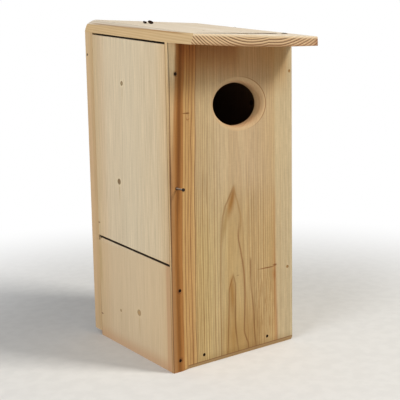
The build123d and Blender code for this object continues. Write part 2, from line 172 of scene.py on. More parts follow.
class Board:
    """A board's material in the making: its own axes in millimetres, its colour and its relief."""

    def __init__(self, name, corner, along, across, inward):
        self.material = bpy.data.materials.new(name)
        tree = self.tree = empty_tree(self.material)
        surface = add(tree, "TexCoord")
        self.point = surface.outputs["Object"]
        self.facing = surface.outputs["Normal"]
        from_corner = add(tree, "VectorMath", {0: self.point, 1: corner}, operation="SUBTRACT")
        in_mm = add(tree, "VectorMath", {0: from_corner, "Scale": 1 / MM}, operation="SCALE")
        self.along, self.across, self.inward = (
            add(tree, "VectorMath", {0: in_mm, 1: axis}, operation="DOT_PRODUCT")
            .outputs["Value"]
            for axis in (along, across, inward)
        )
        self.place = add(tree, "CombineXYZ", {0: self.along, 1: self.across, 2: self.inward})
        self.share_along = add(tree, "Math", {0: self.along, 1: LENGTH}, operation="DIVIDE")
        self.share_across = add(tree, "Math", {0: self.across, 1: WIDTH}, operation="DIVIDE")
        self.grain_axis = along
        # Bends the rings or changes their widths in places; set before they are grown
        self.sway_extra = 0.0

    def fibres(self, lengthways, sideways, detail, shift):
        """Noise drawn out along the grain; its two sizes are in millimetres."""
        stretched = add(
            self.tree,
            "VectorMath",
            {0: self.place, 1: (1 / lengthways, 1 / sideways, 1 / sideways), 2: (shift, shift, 0)},
            operation="MULTIPLY_ADD",
        )
        return add(
            self.tree,
            "TexNoise",
            {"Vector": stretched, "Scale": 1.0, "Detail": detail, "Roughness": 0.55},
        ).outputs["Fac"]

    def zone(self, measure, start, end, soft):
        """On from start to end of a measure in millimetres, with soft edges."""
        rising = add(
            self.tree,
            "MapRange",
            {0: measure, 1: start - soft / 2, 2: start + soft / 2},
            interpolation_type="SMOOTHSTEP",
        )
        falling = add(
            self.tree,
            "MapRange",
            {0: measure, 1: end - soft / 2, 2: end + soft / 2, 3: 1.0, 4: 0.0},
            interpolation_type="SMOOTHSTEP",
        )
        return add(self.tree, "Math", {0: rising, 1: falling}, operation="MULTIPLY")

    def apart(self, centre, reach, lean=0.0):
        """Distance from a mark's centre in reaches, along and across; lean tips it to one side."""
        level = add(self.tree, "Math", {0: self.along, 1: centre[0]}, operation="SUBTRACT")
        side = add(
            self.tree, "Math", {0: level, 1: -lean, 2: self.across}, operation="MULTIPLY_ADD"
        )
        offset = add(self.tree, "CombineXYZ", {0: level, 1: side})
        scaled = add(
            self.tree,
            "VectorMath",
            {0: offset, 1: (1 / reach[0], 1 / reach[1], 0), 2: (0, -centre[1] / reach[1], 0)},
            operation="MULTIPLY_ADD",
        )
        return add(self.tree, "VectorMath", {0: scaled}, operation="LENGTH").outputs["Value"]

    def grow(
        self,
        pith,
        lean,
        ring,
        early,
        late,
        contrast,
        sway,
        seed,
        late_share=0.3,
        weakest=0.35,
        uneven_years=2.4,
    ):
        """Lays the year rings, ring millimetres wide, round a pith behind or beside the board.

        The pith is a place across and inward at the board's foot, and lean is how fast it moves
        from there, up the board. Early and late are the ring's two colours across the board, as
        ramp stops, contrast is how far the late wood shows, also as stops, and late_share is its
        share of the ring. The rings waver by up to sway millimetres, the weakest is the level of
        the faintest year, and uneven_years is how far the widths differ.
        """
        tree = self.tree
        # The board seen from the pith, which leans through it
        drift = add(
            tree,
            "VectorMath",
            {0: self.along, 1: (0, -lean[0], -lean[1]), 2: self.place},
            operation="MULTIPLY_ADD",
        )
        from_pith = add(tree, "VectorMath", {0: drift, 1: (0, *pith)}, operation="SUBTRACT")
        flat = add(tree, "VectorMath", {0: from_pith, 1: (0, 1, 1)}, operation="MULTIPLY")
        radius = add(tree, "VectorMath", {0: flat}, operation="LENGTH").outputs["Value"]
        # The rings waver in and out along the board
        waver = add(
            tree,
            "MapRange",
            {0: self.fibres(240, 60, 2.0, seed), 1: 0.25, 2: 0.75, 3: -sway, 4: sway},
        )
        swayed = add(tree, "Math", {0: radius, 1: waver}, operation="ADD")
        bent = add(tree, "Math", {0: swayed, 1: self.sway_extra}, operation="ADD")
        # Good and poor years come in runs of four or five
        slow = add(tree, "Math", {0: bent, 1: 4.5 * ring}, operation="DIVIDE")
        uneven = add(
            tree, "TexNoise", {"W": slow, "Scale": 1.0, "Detail": 1.0}, noise_dimensions="1D"
        )
        evened = add(
            tree, "Math", {0: uneven.outputs["Fac"], 1: uneven_years}, operation="MULTIPLY"
        )
        turns = add(tree, "Math", {0: bent, 1: 1 / ring, 2: evened}, operation="MULTIPLY_ADD")
        year = add(tree, "Math", {0: turns}, operation="FLOOR")
        season = add(tree, "Math", {0: turns}, operation="FRACT")
        vigour = add(tree, "TexWhiteNoise", {"W": year}, noise_dimensions="1D")
        # Within a year: the last line's edge, pale early wood, the late line and its sharp end
        darkest = 0.95
        line = add(
            tree,
            "ValToRGB",
            {0: season},
            stops=[
                (0.0, 0.3), (0.1, 0.0), (darkest - 1.5 * late_share, 0.06),
                (darkest - late_share / 2, 0.85), (darkest, 1.0), (1.0, 0.7),
            ],
        )
        strength = add(
            tree, "MapRange", {0: vigour.outputs["Value"], 1: 0.0, 2: 1.0, 3: weakest, 4: 1.0}
        )
        self.line = add(tree, "Math", {0: line, 1: strength}, operation="MULTIPLY")
        shown = add(tree, "ValToRGB", {0: self.share_across}, stops=contrast)
        amount = add(tree, "Math", {0: self.line, 1: shown}, operation="MULTIPLY")
        pale = add(tree, "ValToRGB", {0: self.share_across}, stops=early)
        brown = add(tree, "ValToRGB", {0: self.share_across}, stops=late)
        self.colour = add(tree, "Mix", {0: amount, 6: pale, 7: brown}, data_type="RGBA").outputs[2]

    def lay(self, colour, strength, *masks, blend="MIX"):
        """Lays a colour over the board where all the masks are on."""
        amount = strength
        for mask in masks:
            amount = add(self.tree, "Math", {0: amount, 1: mask}, operation="MULTIPLY")
        self.colour = add(
            self.tree,
            "Mix",
            {0: amount, 6: self.colour, 7: linear(colour) if isinstance(colour, str) else colour},
            data_type="RGBA",
            blend_type=blend,
        ).outputs[2]

    def patch(self, colour, strength, along, across, *masks, blend="MIX"):
        """Lays a colour over a patch: where it starts, ends and how softly, along and across."""
        place = self.zone(self.along, *along), self.zone(self.across, *across)
        self.lay(colour, strength, *place, *masks, blend=blend)

    def shade(self, noise, low, high):
        """Makes the colour darker or lighter with a noise: factors at its low and high ends."""
        level = add(self.tree, "MapRange", {0: noise, 1: NOISE_LOW, 2: NOISE_HIGH, 3: low, 4: high})
        grey = add(self.tree, "CombineXYZ", {0: level, 1: level, 2: level})
        self.lay(grey, 1.0, blend="MULTIPLY")

    def vein(self, path, half_width, colour, strength, fade, *masks):
        """A thin line along the grain: places (along, across) in order, and strengths along it."""
        line = add(
            self.tree,
            "ValToRGB",
            {0: self.share_along},
            stops=[(along / LENGTH, across / WIDTH) for along, across in path],
            blend="CARDINAL",
        )
        aside = add(self.tree, "Math", {0: line, 1: self.share_across}, operation="SUBTRACT")
        off = add(self.tree, "Math", {0: aside}, operation="ABSOLUTE")
        near = add(
            self.tree,
            "MapRange",
            {0: off, 1: 0.0, 2: half_width / WIDTH, 3: 1.0, 4: 0.0},
            interpolation_type="SMOOTHSTEP",
        )
        level = add(
            self.tree,
            "ValToRGB",
            {0: self.share_along},
            stops=[(along / LENGTH, amount) for along, amount in fade],
        )
        self.lay(colour, strength, near, level, *masks)

    def lines(self, measure, places, half_width, colour, fade):
        """Straight year lines: each one's place in the measure and its level.

        Ten at most, since a ramp holds 32 stops and each line takes three.
        """
        share = add(self.tree, "Math", {0: measure, 1: WIDTH}, operation="DIVIDE")
        stops = []
        for place, level in places:
            stops += [
                ((place - half_width) / WIDTH, 0.0),
                (place / WIDTH, level),
                ((place + half_width) / WIDTH, 0.0),
            ]
        line = add(self.tree, "ValToRGB", {0: share}, stops=stops)
        level = add(
            self.tree,
            "ValToRGB",
            {0: self.share_along},
            stops=[(along / LENGTH, amount) for along, amount in fade],
        )
        self.lay(colour, 1.0, line, level)

    def mark(self, centre, reach, colour, strength, lean=0.0, soft=1.0):
        """A stain: an oval whose edge is as soft as its whole reach, or harder."""
        mask = add(
            self.tree,
            "MapRange",
            {0: self.apart(centre, reach, lean), 1: 1 - soft, 2: 1.0, 3: 1.0, 4: 0.0},
            interpolation_type="SMOOTHSTEP",
        )
        self.lay(colour, strength, mask)

    def face(self, direction, low=0.6, high=0.8):
        """On where the surface faces one way."""
        toward = add(
            self.tree, "VectorMath", {0: self.facing, 1: direction}, operation="DOT_PRODUCT"
        )
        return add(
            self.tree,
            "MapRange",
            {0: toward.outputs["Value"], 1: low, 2: high},
            interpolation_type="SMOOTHSTEP",
        )

    def end_grain(self, pale, brown, strength):
        """Board ends drink dirt and show the rings as dark arcs."""
        toward = add(
            self.tree, "VectorMath", {0: self.facing, 1: self.grain_axis}, operation="DOT_PRODUCT"
        )
        size = add(self.tree, "Math", {0: toward.outputs["Value"]}, operation="ABSOLUTE")
        cut = add(self.tree, "MapRange", {0: size, 1: 0.6, 2: 0.8}, interpolation_type="SMOOTHSTEP")
        ends = add(
            self.tree, "Mix", {0: self.line, 6: linear(pale), 7: linear(brown)}, data_type="RGBA"
        )
        self.lay(ends.outputs[2], strength, cut)
        return cut

    def darken_inside(self, covered=1.0):
        """The nest side, where covered is on: never planed, dark with damp and old litter, and
        darkened further as painted shade of the closed box.
        """
        middle = (inside_low + inside_high) / 2
        half = (inside_high - inside_low) / 2
        moved = add(self.tree, "VectorMath", {0: self.point, 1: middle}, operation="SUBTRACT")
        size = add(self.tree, "VectorMath", {0: moved}, operation="ABSOLUTE")
        over = add(self.tree, "VectorMath", {0: size, 1: half}, operation="SUBTRACT")
        parts = add(self.tree, "SeparateXYZ", {0: over})
        furthest = add(
            self.tree, "Math", {0: parts.outputs[0], 1: parts.outputs[1]}, operation="MAXIMUM"
        )
        within = add(self.tree, "MapRange", {0: furthest, 1: 0.0, 2: CAVITY_MARGIN, 3: 1.0, 4: 0.0})
        # Painted shade inside the closed box, on top of its darker wood
        self.lay("a08673", 1.0, within, covered, blend="MULTIPLY")

    def finish(self, roughness=0.72):
        """Closes the material: raised late wood, a fuzz of sawn fibres and a dull surface.

        Real fibres are finer than any picture of a whole board shows, so they are drawn coarser.
        """
        height = add(
            self.tree,
            "Math",
            {0: self.fibres(14, 0.7, 1.0, 5.0), 1: FUZZ_SHARE, 2: self.line},
            operation="MULTIPLY_ADD",
        )
        bump = add(
            self.tree, "Bump", {"Strength": 0.6, "Distance": GRAIN_DEPTH * MM, "Height": height}
        )
        shader = add(
            self.tree,
            "BsdfPrincipled",
            {
                "Base Color": self.colour,
                "Roughness": roughness,
                "IOR": 1.45,
                "Specular IOR Level": 0.25,
                "Normal": bump,
            },
        )
        add(self.tree, "OutputMaterial", {"Surface": shader})
        return self.material


# ---- Front board ----
PLANED_FOOT = (0, -0.901, -0.433)        # the way that the foot's planed-off arris faces
DIRT_CLIMB = 0.0075                      # how fast the line of dirt over it rises to the right
STREAK_SPAN = 50.0            # the heart streak's colours are given over this width


def front_pine():
    """Flat-sawn heart pine, weathered: strong brown lines at the left, flames in the middle."""
    corner = Vector((front_low.x, front_low.y, 0))
    board = Board("front_flat_sawn_pine", corner, UP, RIGHT, REARWARD)
    board.grow(
        pith=(140.0, 60.0),
        lean=(0.0, 0.01),
        ring=4.3,
        early=[
            (0.0, "c29e6c"), (0.17, "c2a672"), (0.26, "c3ab79"), (0.36, "c6af84"),
            (0.45, "c3a87a"), (0.62, "c3a87e"), (0.76, "bfa372"), (0.79, "bf9f6e"),
            (0.81, "bea984"), (0.95, "beac89"),
        ],
        late=[
            (0.0, "8a5a2a"), (0.2, "94703e"), (0.5, "a1794a"), (0.78, "a57846"), (0.82, "b08f62")
        ],
        contrast=[(0.0, 0.35), (0.3, 0.45), (0.4, 0.3), (0.6, 0.35), (0.78, 0.5), (0.82, 0.22)],
        sway=1.6,
        seed=3.0,
    )
    # The upper half has bleached a little more than the lower
    board.patch("b29d84", 0.4, (270, ABOVE, 160), (50, 228, 12))
    # The boundary of the pale sapwood at the right stands further in above the middle
    board.patch("c0ac86", 0.6, (290, ABOVE, 60), (226, 240, 7))
    bent = draw_heart_streak(board)
    draw_straight_lines(board, bent)
    draw_flames(board)
    draw_scratches(board)
    draw_left_arris(board)
    draw_rust(board)
    # The lower half right of the straight lines is warmer
    board.patch("f3f0e6", 1.0, (BELOW, 300, 80), (105, 195, 40), blend="MULTIPLY")
    # The foot has soaked up more water than the rest, most of all its last finger's breadth
    board.patch("ebdfc9", 0.9, (BELOW, 80, 90), (105, 200, 40), blend="MULTIPLY")
    board.patch("e2dcd0", 0.8, (BELOW, 14, 18), (60, BEYOND, 40), blend="MULTIPLY")
    # Painted shade under the roof: the wood there is darkened and warmed, for the roof's shadow and
    # the warm light bounced off its underside
    board.patch("b87e22", 0.6, (525, ABOVE, 75), (22, 150, 24), blend="MULTIPLY")
    board.patch("e0b05c", 0.55, (500, ABOVE, 90), (30, 262, 24), blend="MULTIPLY")
    board.shade(board.fibres(300, 16, 2.0, 1.0), 0.95, 1.05)
    board.shade(board.fibres(60, 1.6, 2.0, 2.0), 0.88, 1.11)
    board.shade(board.fibres(26, 2.2, 1.0, 17.0), 0.955, 1.045)
    # Faint ripples that the planer's knives left across the grain, drawn coarser than they are
    board.shade(board.fibres(2.6, 11, 1.0, 12.0), 0.975, 1.025)
    board.end_grain("b98a66", "94603c", 0.85)
    # The planed-off front arris of the foot has gone a dirty pink
    planed = board.face(PLANED_FOOT, 0.93, 0.97)
    board.lay("ae8d60", 0.85, planed, board.zone(board.along, -9, 12, 1.0))
    # A fine line of dirt lies above it
    over_line = add(
        board.tree,
        "Math",
        {0: board.across, 1: -DIRT_CLIMB, 2: board.along},
        operation="MULTIPLY_ADD",
    )
    dirt = board.zone(over_line, 5.6, 7.6, 1.2)
    board.lay("7a5232", 0.7, dirt, board.zone(board.across, 30, BEYOND, 6))
    draw_entrance_rim(board)
    board.darken_inside()
    return board.finish()


def draw_heart_streak(board):
    """A band of dark heartwood beside the left edge, bending away from it towards the top.

    It gives back the place across the board with the bend taken out, for the lines beside it.
    """
    tree = board.tree
    # How far up the board the streak has bent, as a share of its whole bend
    bends = [
        (0, 0.04), (100, 0.0), (200, 0.0), (300, 0.13), (400, 0.28), (480, 0.48), (540, 0.66),
        (570, 0.72),
    ]
    bend = add(
        tree,
        "ValToRGB",
        {0: board.share_along},
        stops=[(along / LENGTH, share) for along, share in bends],
        blend="CARDINAL",
    )
    # The whole bend is 20 mm at the left edge, and it dies out towards the middle of the board
    share_bent = add(tree, "MapRange", {0: board.across, 1: 22.0, 2: 110.0, 3: -20.0, 4: -4.0})
    straight = add(
        tree, "Math", {0: bend, 1: share_bent, 2: board.across}, operation="MULTIPLY_ADD"
    )
    wander = add(
        tree,
        "MapRange",
        {0: board.fibres(110, 9, 2.0, 7.0), 1: NOISE_LOW, 2: NOISE_HIGH, 3: -1.1, 4: 1.1},
    )
    bent = add(tree, "Math", {0: straight, 1: wander}, operation="ADD")
    share = add(tree, "Math", {0: bent, 1: STREAK_SPAN}, operation="DIVIDE")
    heart = add(
        tree,
        "ValToRGB",
        {0: share},
        stops=[
            (0.0, "a2764a"), (0.13, "9e6f3e"), (0.18, "905c26"), (0.22, "82501c"),
            (0.27, "82501c"), (0.31, "966028"), (0.4, "a26e38"), (0.43, "94602c"),
            (0.48, "bd945c"), (0.6, "c39b63"), (0.78, "c0965f"), (0.92, "c39c66"),
        ],
    )
    board.lay(heart, 0.95, board.zone(bent, -STREAK_SPAN, 48, 3))
    # Its dark core, from the foot of the door up
    board.vein(
        [(260, 15.0), (320, 17.5), (400, 20.5), (480, 23.5), (565, 27.0)],
        6.0, "66380e", 0.85,
        [(250, 0.0), (300, 0.5), (370, 0.9), (480, 0.75), (565, 0.4)],
    )
    # Above the latch nail the sapwood left of the streak is pale; near the top it is painted paler
    # still, a painted highlight where light from the left reaches in under the roof
    for colour, strength, (start, soft_start), (end, soft_end) in (
        ("c6a87c", 0.85, (400, 160), (3, 5)), ("e4cca2", 0.8, (505, 50), (2, 4))
    ):
        upper = board.zone(board.along, start, ABOVE, soft_start)
        board.lay(colour, strength, upper, board.zone(bent, -STREAK_SPAN, end, soft_end))
    return bent


def draw_straight_lines(board, bent):
    """The year lines beside the streak bend with it, those right of the middle run straight up."""
    all_along = [(0.0, 1.0), (LENGTH, 1.0)]
    board.lines(
        bent,
        [(28.2, 0.75), (31.4, 0.25), (34.3, 0.8), (37.4, 0.2), (40.4, 0.95), (43.6, 0.35),
         (48.8, 0.95)],
        1.5, "70421a",
        all_along,
    )
    board.lines(
        bent,
        [(52.5, 0.7), (56.5, 0.55), (60.7, 0.75), (65.5, 0.9), (70.0, 0.6), (75.5, 1.0),
         (81.0, 0.6), (86.5, 0.5), (91.5, 0.75), (97.5, 0.5)],
        1.7, "845a28",
        [(0.0, 0.75), (60.0, 0.95), (190.0, 0.65), (260.0, 0.9), (400.0, 0.6), (520.0, 0.45)],
    )
    board.lines(
        bent,
        [(102.5, 0.9), (107.0, 0.5), (115.0, 0.45)],
        1.6, "8e6632",
        [(0.0, 0.8), (220.0, 0.55), (300.0, 0.25), (420.0, 0.3)],
    )
    board.lines(
        board.across,
        [(165.0, 0.4), (169.0, 0.5), (176.0, 0.6), (180.5, 0.8), (186.0, 0.5), (191.5, 0.6),
         (197.0, 0.5), (203.5, 0.8), (207.8, 0.5), (213.0, 0.5)],
        1.7, "8c6230",
        [(0.0, 0.5), (140.0, 0.9), (290.0, 0.9), (340.0, 0.45), (450.0, 0.35)],
    )
    board.lines(
        board.across,
        [(219.0, 0.6), (224.0, 0.55), (229.5, 0.7), (245.0, 0.3), (258.0, 0.3), (266.0, 0.3)],
        1.7, "8c6230",
        [(0.0, 0.6), (140.0, 1.0), (290.0, 0.8), (340.0, 0.4), (450.0, 0.3)],
    )


def draw_flames(board):
    """Two pointed flames in the middle, the tips of which are filled with resin."""
    # Upper flame: its tip, then its two sides down the board
    board.mark((284, 128.5), (38, 12.5), "98682a", 0.85, lean=0.26)
    board.mark((300, 133.0), (22, 6.0), "8c5c22", 0.6, lean=0.14)
    board.mark((246, 114.0), (46, 9.0), "987640", 0.55, lean=0.2)
    board.vein(
        [(110, 103), (200, 105), (240, 107), (265, 111), (285, 119), (314, 134)],
        3.6, "7e5420", 0.6,
        [(90, 0.25), (230, 0.6), (270, 0.9), (300, 1.0), (316, 0.0)],
    )
    board.vein(
        [(0, 167), (20, 164), (32, 159), (45, 156), (100, 158), (140, 157), (160, 155.5),
         (180, 152), (200, 148), (222, 144), (245, 146)],
        3.0, "7c4618", 0.75,
        [(0, 0.15), (25, 0.8), (150, 0.85), (225, 0.8), (250, 0.15), (258, 0.0)],
    )
    board.vein(
        [(225, 147), (250, 150), (270, 147), (290, 141), (314, 135)],
        3.2, "926830", 0.5,
        [(215, 0.0), (240, 0.8), (300, 0.9), (316, 0.0)],
    )
    # Lower flame with its resin
    board.mark((112, 129.5), (56, 10.5), "9a6826", 0.7)
    board.mark((134, 127.0), (26, 8.0), "9a6e34", 0.5)
    board.mark((40, 131.0), (60, 9.0), "a47a42", 0.4)
    board.vein(
        [(0, 143), (20, 140), (40, 137.5), (60, 135.5), (100, 136), (135, 136), (152, 132)],
        3.0, "784a18", 0.7,
        [(0, 0.3), (50, 1.0), (110, 0.9), (148, 0.7), (156, 0.0)],
    )
    board.vein(
        [(0, 117), (20, 118), (60, 120), (100, 121.5), (130, 123), (152, 131)],
        2.6, "80501e", 0.7,
        [(0, 0.4), (60, 0.9), (145, 0.9), (156, 0.0)],
    )
    # A third line, with a sharp tip
    board.vein(
        [(0, 184), (20, 182), (50, 179.5), (80, 178), (110, 174.5), (130, 172.5), (176, 172.5)],
        2.6, "7a4a1c", 0.75,
        [(0, 0.3), (20, 0.8), (100, 0.7), (135, 0.6), (150, 1.0), (172, 0.9), (180, 0.0)],
    )
    # Short dark dashes of late wood at the lower right
    dashes = board.zone(board.fibres(34, 1.9, 1.0, 31.0), 0.58, 2.0, 0.1)
    board.patch("8c5c2a", 0.5, (30, 150, 40), (182, 226, 20), dashes)


def draw_scratches(board):
    """A scratch across the grain, the darker wood that stops at it, and a small bark mark."""
    board.vein(
        [(0, 234), (60, 233), (110, 231), (160, 230), (300, 230)],
        6.5, "a06a34", 0.7,
        [(0, 0.9), (60, 0.8), (130, 0.75), (165, 0.5), (200, 0.2), (300, 0.1)],
    )
    board.mark((152.8, 211.0), (1.5, 27.0), "7c4c24", 0.85, soft=0.6)
    board.mark((155.5, 230.5), (2.8, 7.0), "784822", 0.85, soft=0.7)
    board.mark((138.0, 229.0), (18.0, 6.0), "96602e", 0.6)
    board.mark((150.0, 142.0), (1.2, 4.0), "8a6a4a", 0.6, soft=0.6)
    board.mark((446.5, 34.0), (1.5, 8.5), "784a22", 0.85, soft=0.6)
    board.mark((446.5, 39.0), (2.2, 5.0), "6e421e", 0.7, soft=0.6)
    board.mark((437.0, 38.5), (3.6, 4.6), "8a5a2c", 0.6, soft=0.5)
    board.mark((438.5, 38.5), (2.2, 3.0), "c09462", 0.7, soft=0.5)


def draw_left_arris(board):
    """A dark line beside the left arris of the front, and the board's thin left edge."""
    board.vein(
        [(0, 0.0), (120, 0.0), (220, 0.5), (280, 1.0), (340, 1.9), (400, 2.0), (460, 3.0),
         (520, 3.0), (565, 2.3)],
        1.7, "3e220a", 0.95,
        [(0, 0.6), (120, 0.6), (220, 0.9), (340, 1.0), (400, 0.8), (565, 0.75)],
        board.face(FORWARD, 0.3, 0.5),
    )
    # The edge is paler, darker at its foot and along its front arris, with painted shade along its
    # rear arris beside the gap to the door
    edge = board.face(LEFT)
    board.lay("c4a67a", 0.9, edge)
    board.lay("a0764a", 0.7, edge, board.zone(board.along, BELOW, 130, 160))
    front_arris = board.zone(board.inward, -5, 1.2, 2.0)
    board.lay("5a3414", 0.8, edge, front_arris, board.zone(board.along, BELOW, 400, 140))
    # Painted shade along the rear arris, for the gap between this edge and the door
    board.lay("6a4420", 0.6, edge, board.zone(board.inward, 4.8, 9, 1.0))


def draw_rust(board):
    """Rust has crept into the wood round the nails at the left; round the latch nail a dark ring is
    painted shade of its hole.
    """
    pivot_low, pivot_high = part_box("door_pivot_nails")
    nails_low, nails_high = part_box("front_left_nails")
    pivot = (pivot_low + pivot_high) / 2
    nails_x = (nails_low.x + nails_high.x) / 2
    head_radius = (nails_high.x - nails_low.x) / 2
    rusty = [
        (pivot.x, pivot.z),
        (nails_x, nails_low.z + head_radius),
        (nails_x, nails_high.z - head_radius),
    ]
    for x, z in rusty:
        board.mark((z / MM, (x - front_low.x) / MM), (6.5, 6.0), "6a3c18", 0.6, soft=0.6)
    # Painted shade: a dark ring round the latch nail, for the shadow in its hole
    hole_shade_place = (latch_middle.z / MM, (latch_middle.x - front_low.x) / MM)
    board.mark(hole_shade_place, (3.6, 4.2), "4a2a10", 0.95, soft=0.4)


ENTRANCE_CENTRE = (458.5, 148.8)         # up and across the front board
ENTRANCE_REACH = (38.1, 52.4)            # half its height and half its width
RIM_WIDTH = 10.0                         # how far out from the hole the rounding reaches


def draw_entrance_rim(board):
    """The rim was rounded with a cutter: a pale band, with painted shade on its inner right part
    and in a fine crease at its outer edge.
    """
    outer = [half + RIM_WIDTH for half in ENTRANCE_REACH]
    out = board.apart(ENTRANCE_CENTRE, outer)
    board.lay("c2a278", 0.5, board.zone(out, 0.6, 0.985, 0.03))
    # Painted shade on the rim's inner part right of the hole, where its rounding turns from the
    # light
    shaded = board.zone(board.across, 180, BEYOND, 40)
    board.lay("9a744c", 0.4, board.zone(out, 0.6, 0.93, 0.1), shaded)
    # Painted shade in the crease, darkest at the upper right, where it is cut deepest
    crease_shade = board.zone(out, 0.978, 1.004, 0.02)
    board.patch("84582e", 0.85, (425, 600, 50), (160, BEYOND, 60), crease_shade)


# ---- Side boards ----
def side_pine(name, corner, across, inward, knots, bands):
    """Straight-grained pale sapwood with small tight knots.

    A knot is its place, its half height and half width and its heart's colour. Bands are the
    early wood's colours across the board, as ramp stops.
    """
    board = Board(name, corner, UP, across, inward)
    # The rings bend round each knot
    for (along, from_edge), (tall, wide), _ in knots:
        bend = add(
            board.tree,
            "MapRange",
            {0: board.apart((along, from_edge), (tall * 4, wide * 3)), 3: 5.0, 4: 0.0},
            interpolation_type="SMOOTHSTEP",
        )
        board.sway_extra = add(board.tree, "Math", {0: bend, 1: board.sway_extra}, operation="ADD")
    board.grow(
        pith=(-260.0, 120.0),
        lean=(0.02, 0.0),
        ring=4.6,
        early=bands,
        late=[(0.0, "b39a74"), (1.0, "b1956e")],
        contrast=[(0.0, 0.45), (0.5, 0.3), (1.0, 0.42)],
        sway=2.5,
        seed=11.0,
    )
    for (along, from_edge), (tall, wide), heart in knots:
        board.mark((along - tall * 3, from_edge + 1), (tall * 5, wide * 0.35), "a68a60", 0.6)
        board.mark((along, from_edge), (tall * 1.9, wide * 1.9), "d8c6a4", 0.55, soft=0.5)
        board.mark((along, from_edge), (tall, wide), "6f5636", 0.9, soft=0.3)
        board.mark((along, from_edge), (tall * 0.6, wide * 0.6), heart, 0.85, soft=0.5)
    board.shade(board.fibres(400, 20, 2.0, 1.0), 0.96, 1.04)
    board.shade(board.fibres(90, 2.0, 2.0, 2.0), 0.87, 1.11)
    board.shade(board.fibres(2.6, 11, 1.0, 12.0), 0.985, 1.015)
    return board


def left_pine():
    """The door and the fixed panel below it, sawn from one board."""
    board = side_pine(
        "left_side_straight_pine",
        Vector((door_low.x, back_high.y, 0)),
        FORWARD,
        RIGHT,
        [
            ((497.5, 136.0), (5.0, 5.0), "a08c68"),
            ((317.0, 116.0), (6.5, 7.0), "80684a"),
            ((81.0, 175.0), (7.0, 7.5), "a07c44"),
            ((69.0, 107.5), (3.5, 3.8), "7a6448"),
        ],
        [
            (0.0, "c9b08a"), (0.09, "c4ab84"), (0.12, "c6ae88"), (0.2, "ccb594"),
            (0.27, "d0bea0"), (0.55, "cfbfa2"), (0.85, "cdba9a"), (0.92, "cbb490"),
            (0.96, "c9ae88"), (1.0, "c8aa82"),
        ],
    )
    # Lower panel: greyer brown, darker along its front edge beside the front board, and stained
    # along its foot where water stands
    low = board.zone(board.along, BELOW, 194, 14)
    board.lay("c2a47c", 0.42, low)
    board.lay("a87a54", 0.5, low, board.zone(board.across, 268, 320, 8))
    board.lay("b88a66", 0.5, board.zone(board.along, BELOW, 16, 26))
    board.patch("a88c5c", 0.45, (110, 188, 40), (26, 38, 8))
    # Damp line along the back board's edge, with two small splits
    board.patch("7e5634", 0.75, (195, 300, 80), (25.4, 28.6, 2.2))
    board.patch("7e5634", 0.8, (0, 108, 40), (25.8, 29.0, 2.2))
    board.patch("90683f", 0.45, (300, 450, 60), (25.4, 28.6, 2.2))
    board.mark((228.5, 31.0), (2.0, 6.5), "6c4a28", 0.85, soft=0.6)
    board.mark((45.0, 32.0), (2.0, 6.0), "6c4a28", 0.85, soft=0.6)
    board.end_grain("b99468", "96703f", 0.6)
    # Painted shade: the two faces of the slanted cut are near black, for the gap between door and
    # lower panel
    top_end, bottom_end = board.face(UP, 0.5, 0.8), board.face(DOWN, 0.5, 0.8)
    for end in (top_end, bottom_end):
        board.lay(SHADE_BLACK, 0.9, end, board.zone(board.along, 170, 215, 4))
    # Painted shade: so is the door's top end, for the gap under the roof
    board.lay(SHADE_BLACK, 0.9, top_end, board.zone(board.along, 540, ABOVE, 4))
    board.darken_inside()
    return board.finish()


def right_pine():
    """The fixed right side, of the same straight pine."""
    board = side_pine(
        "right_side_straight_pine",
        Vector((right_high.x, front_low.y, 0)),
        REARWARD,
        LEFT,
        [
            ((455.0, 92.0), (6.0, 6.0), "80684a"),
            ((238.0, 171.0), (7.0, 8.0), "a07c44"),
            ((118.0, 64.0), (4.0, 4.5), "a08c68"),
        ],
        [(0.0, "c7a97e"), (0.1, "cdb896"), (0.5, "cfbea0"), (0.9, "cab28c"), (1.0, "c4a67e")],
    )
    board.lay("b88a66", 0.5, board.zone(board.along, BELOW, 16, 26))
    board.end_grain("b99468", "96703f", 0.6)
    board.darken_inside()
    return board.finish()


# ---- Back board, floor and roof ----
BACK_NAIL_HOLE = (553.0, 7.0)            # up the back board and in from its rear face


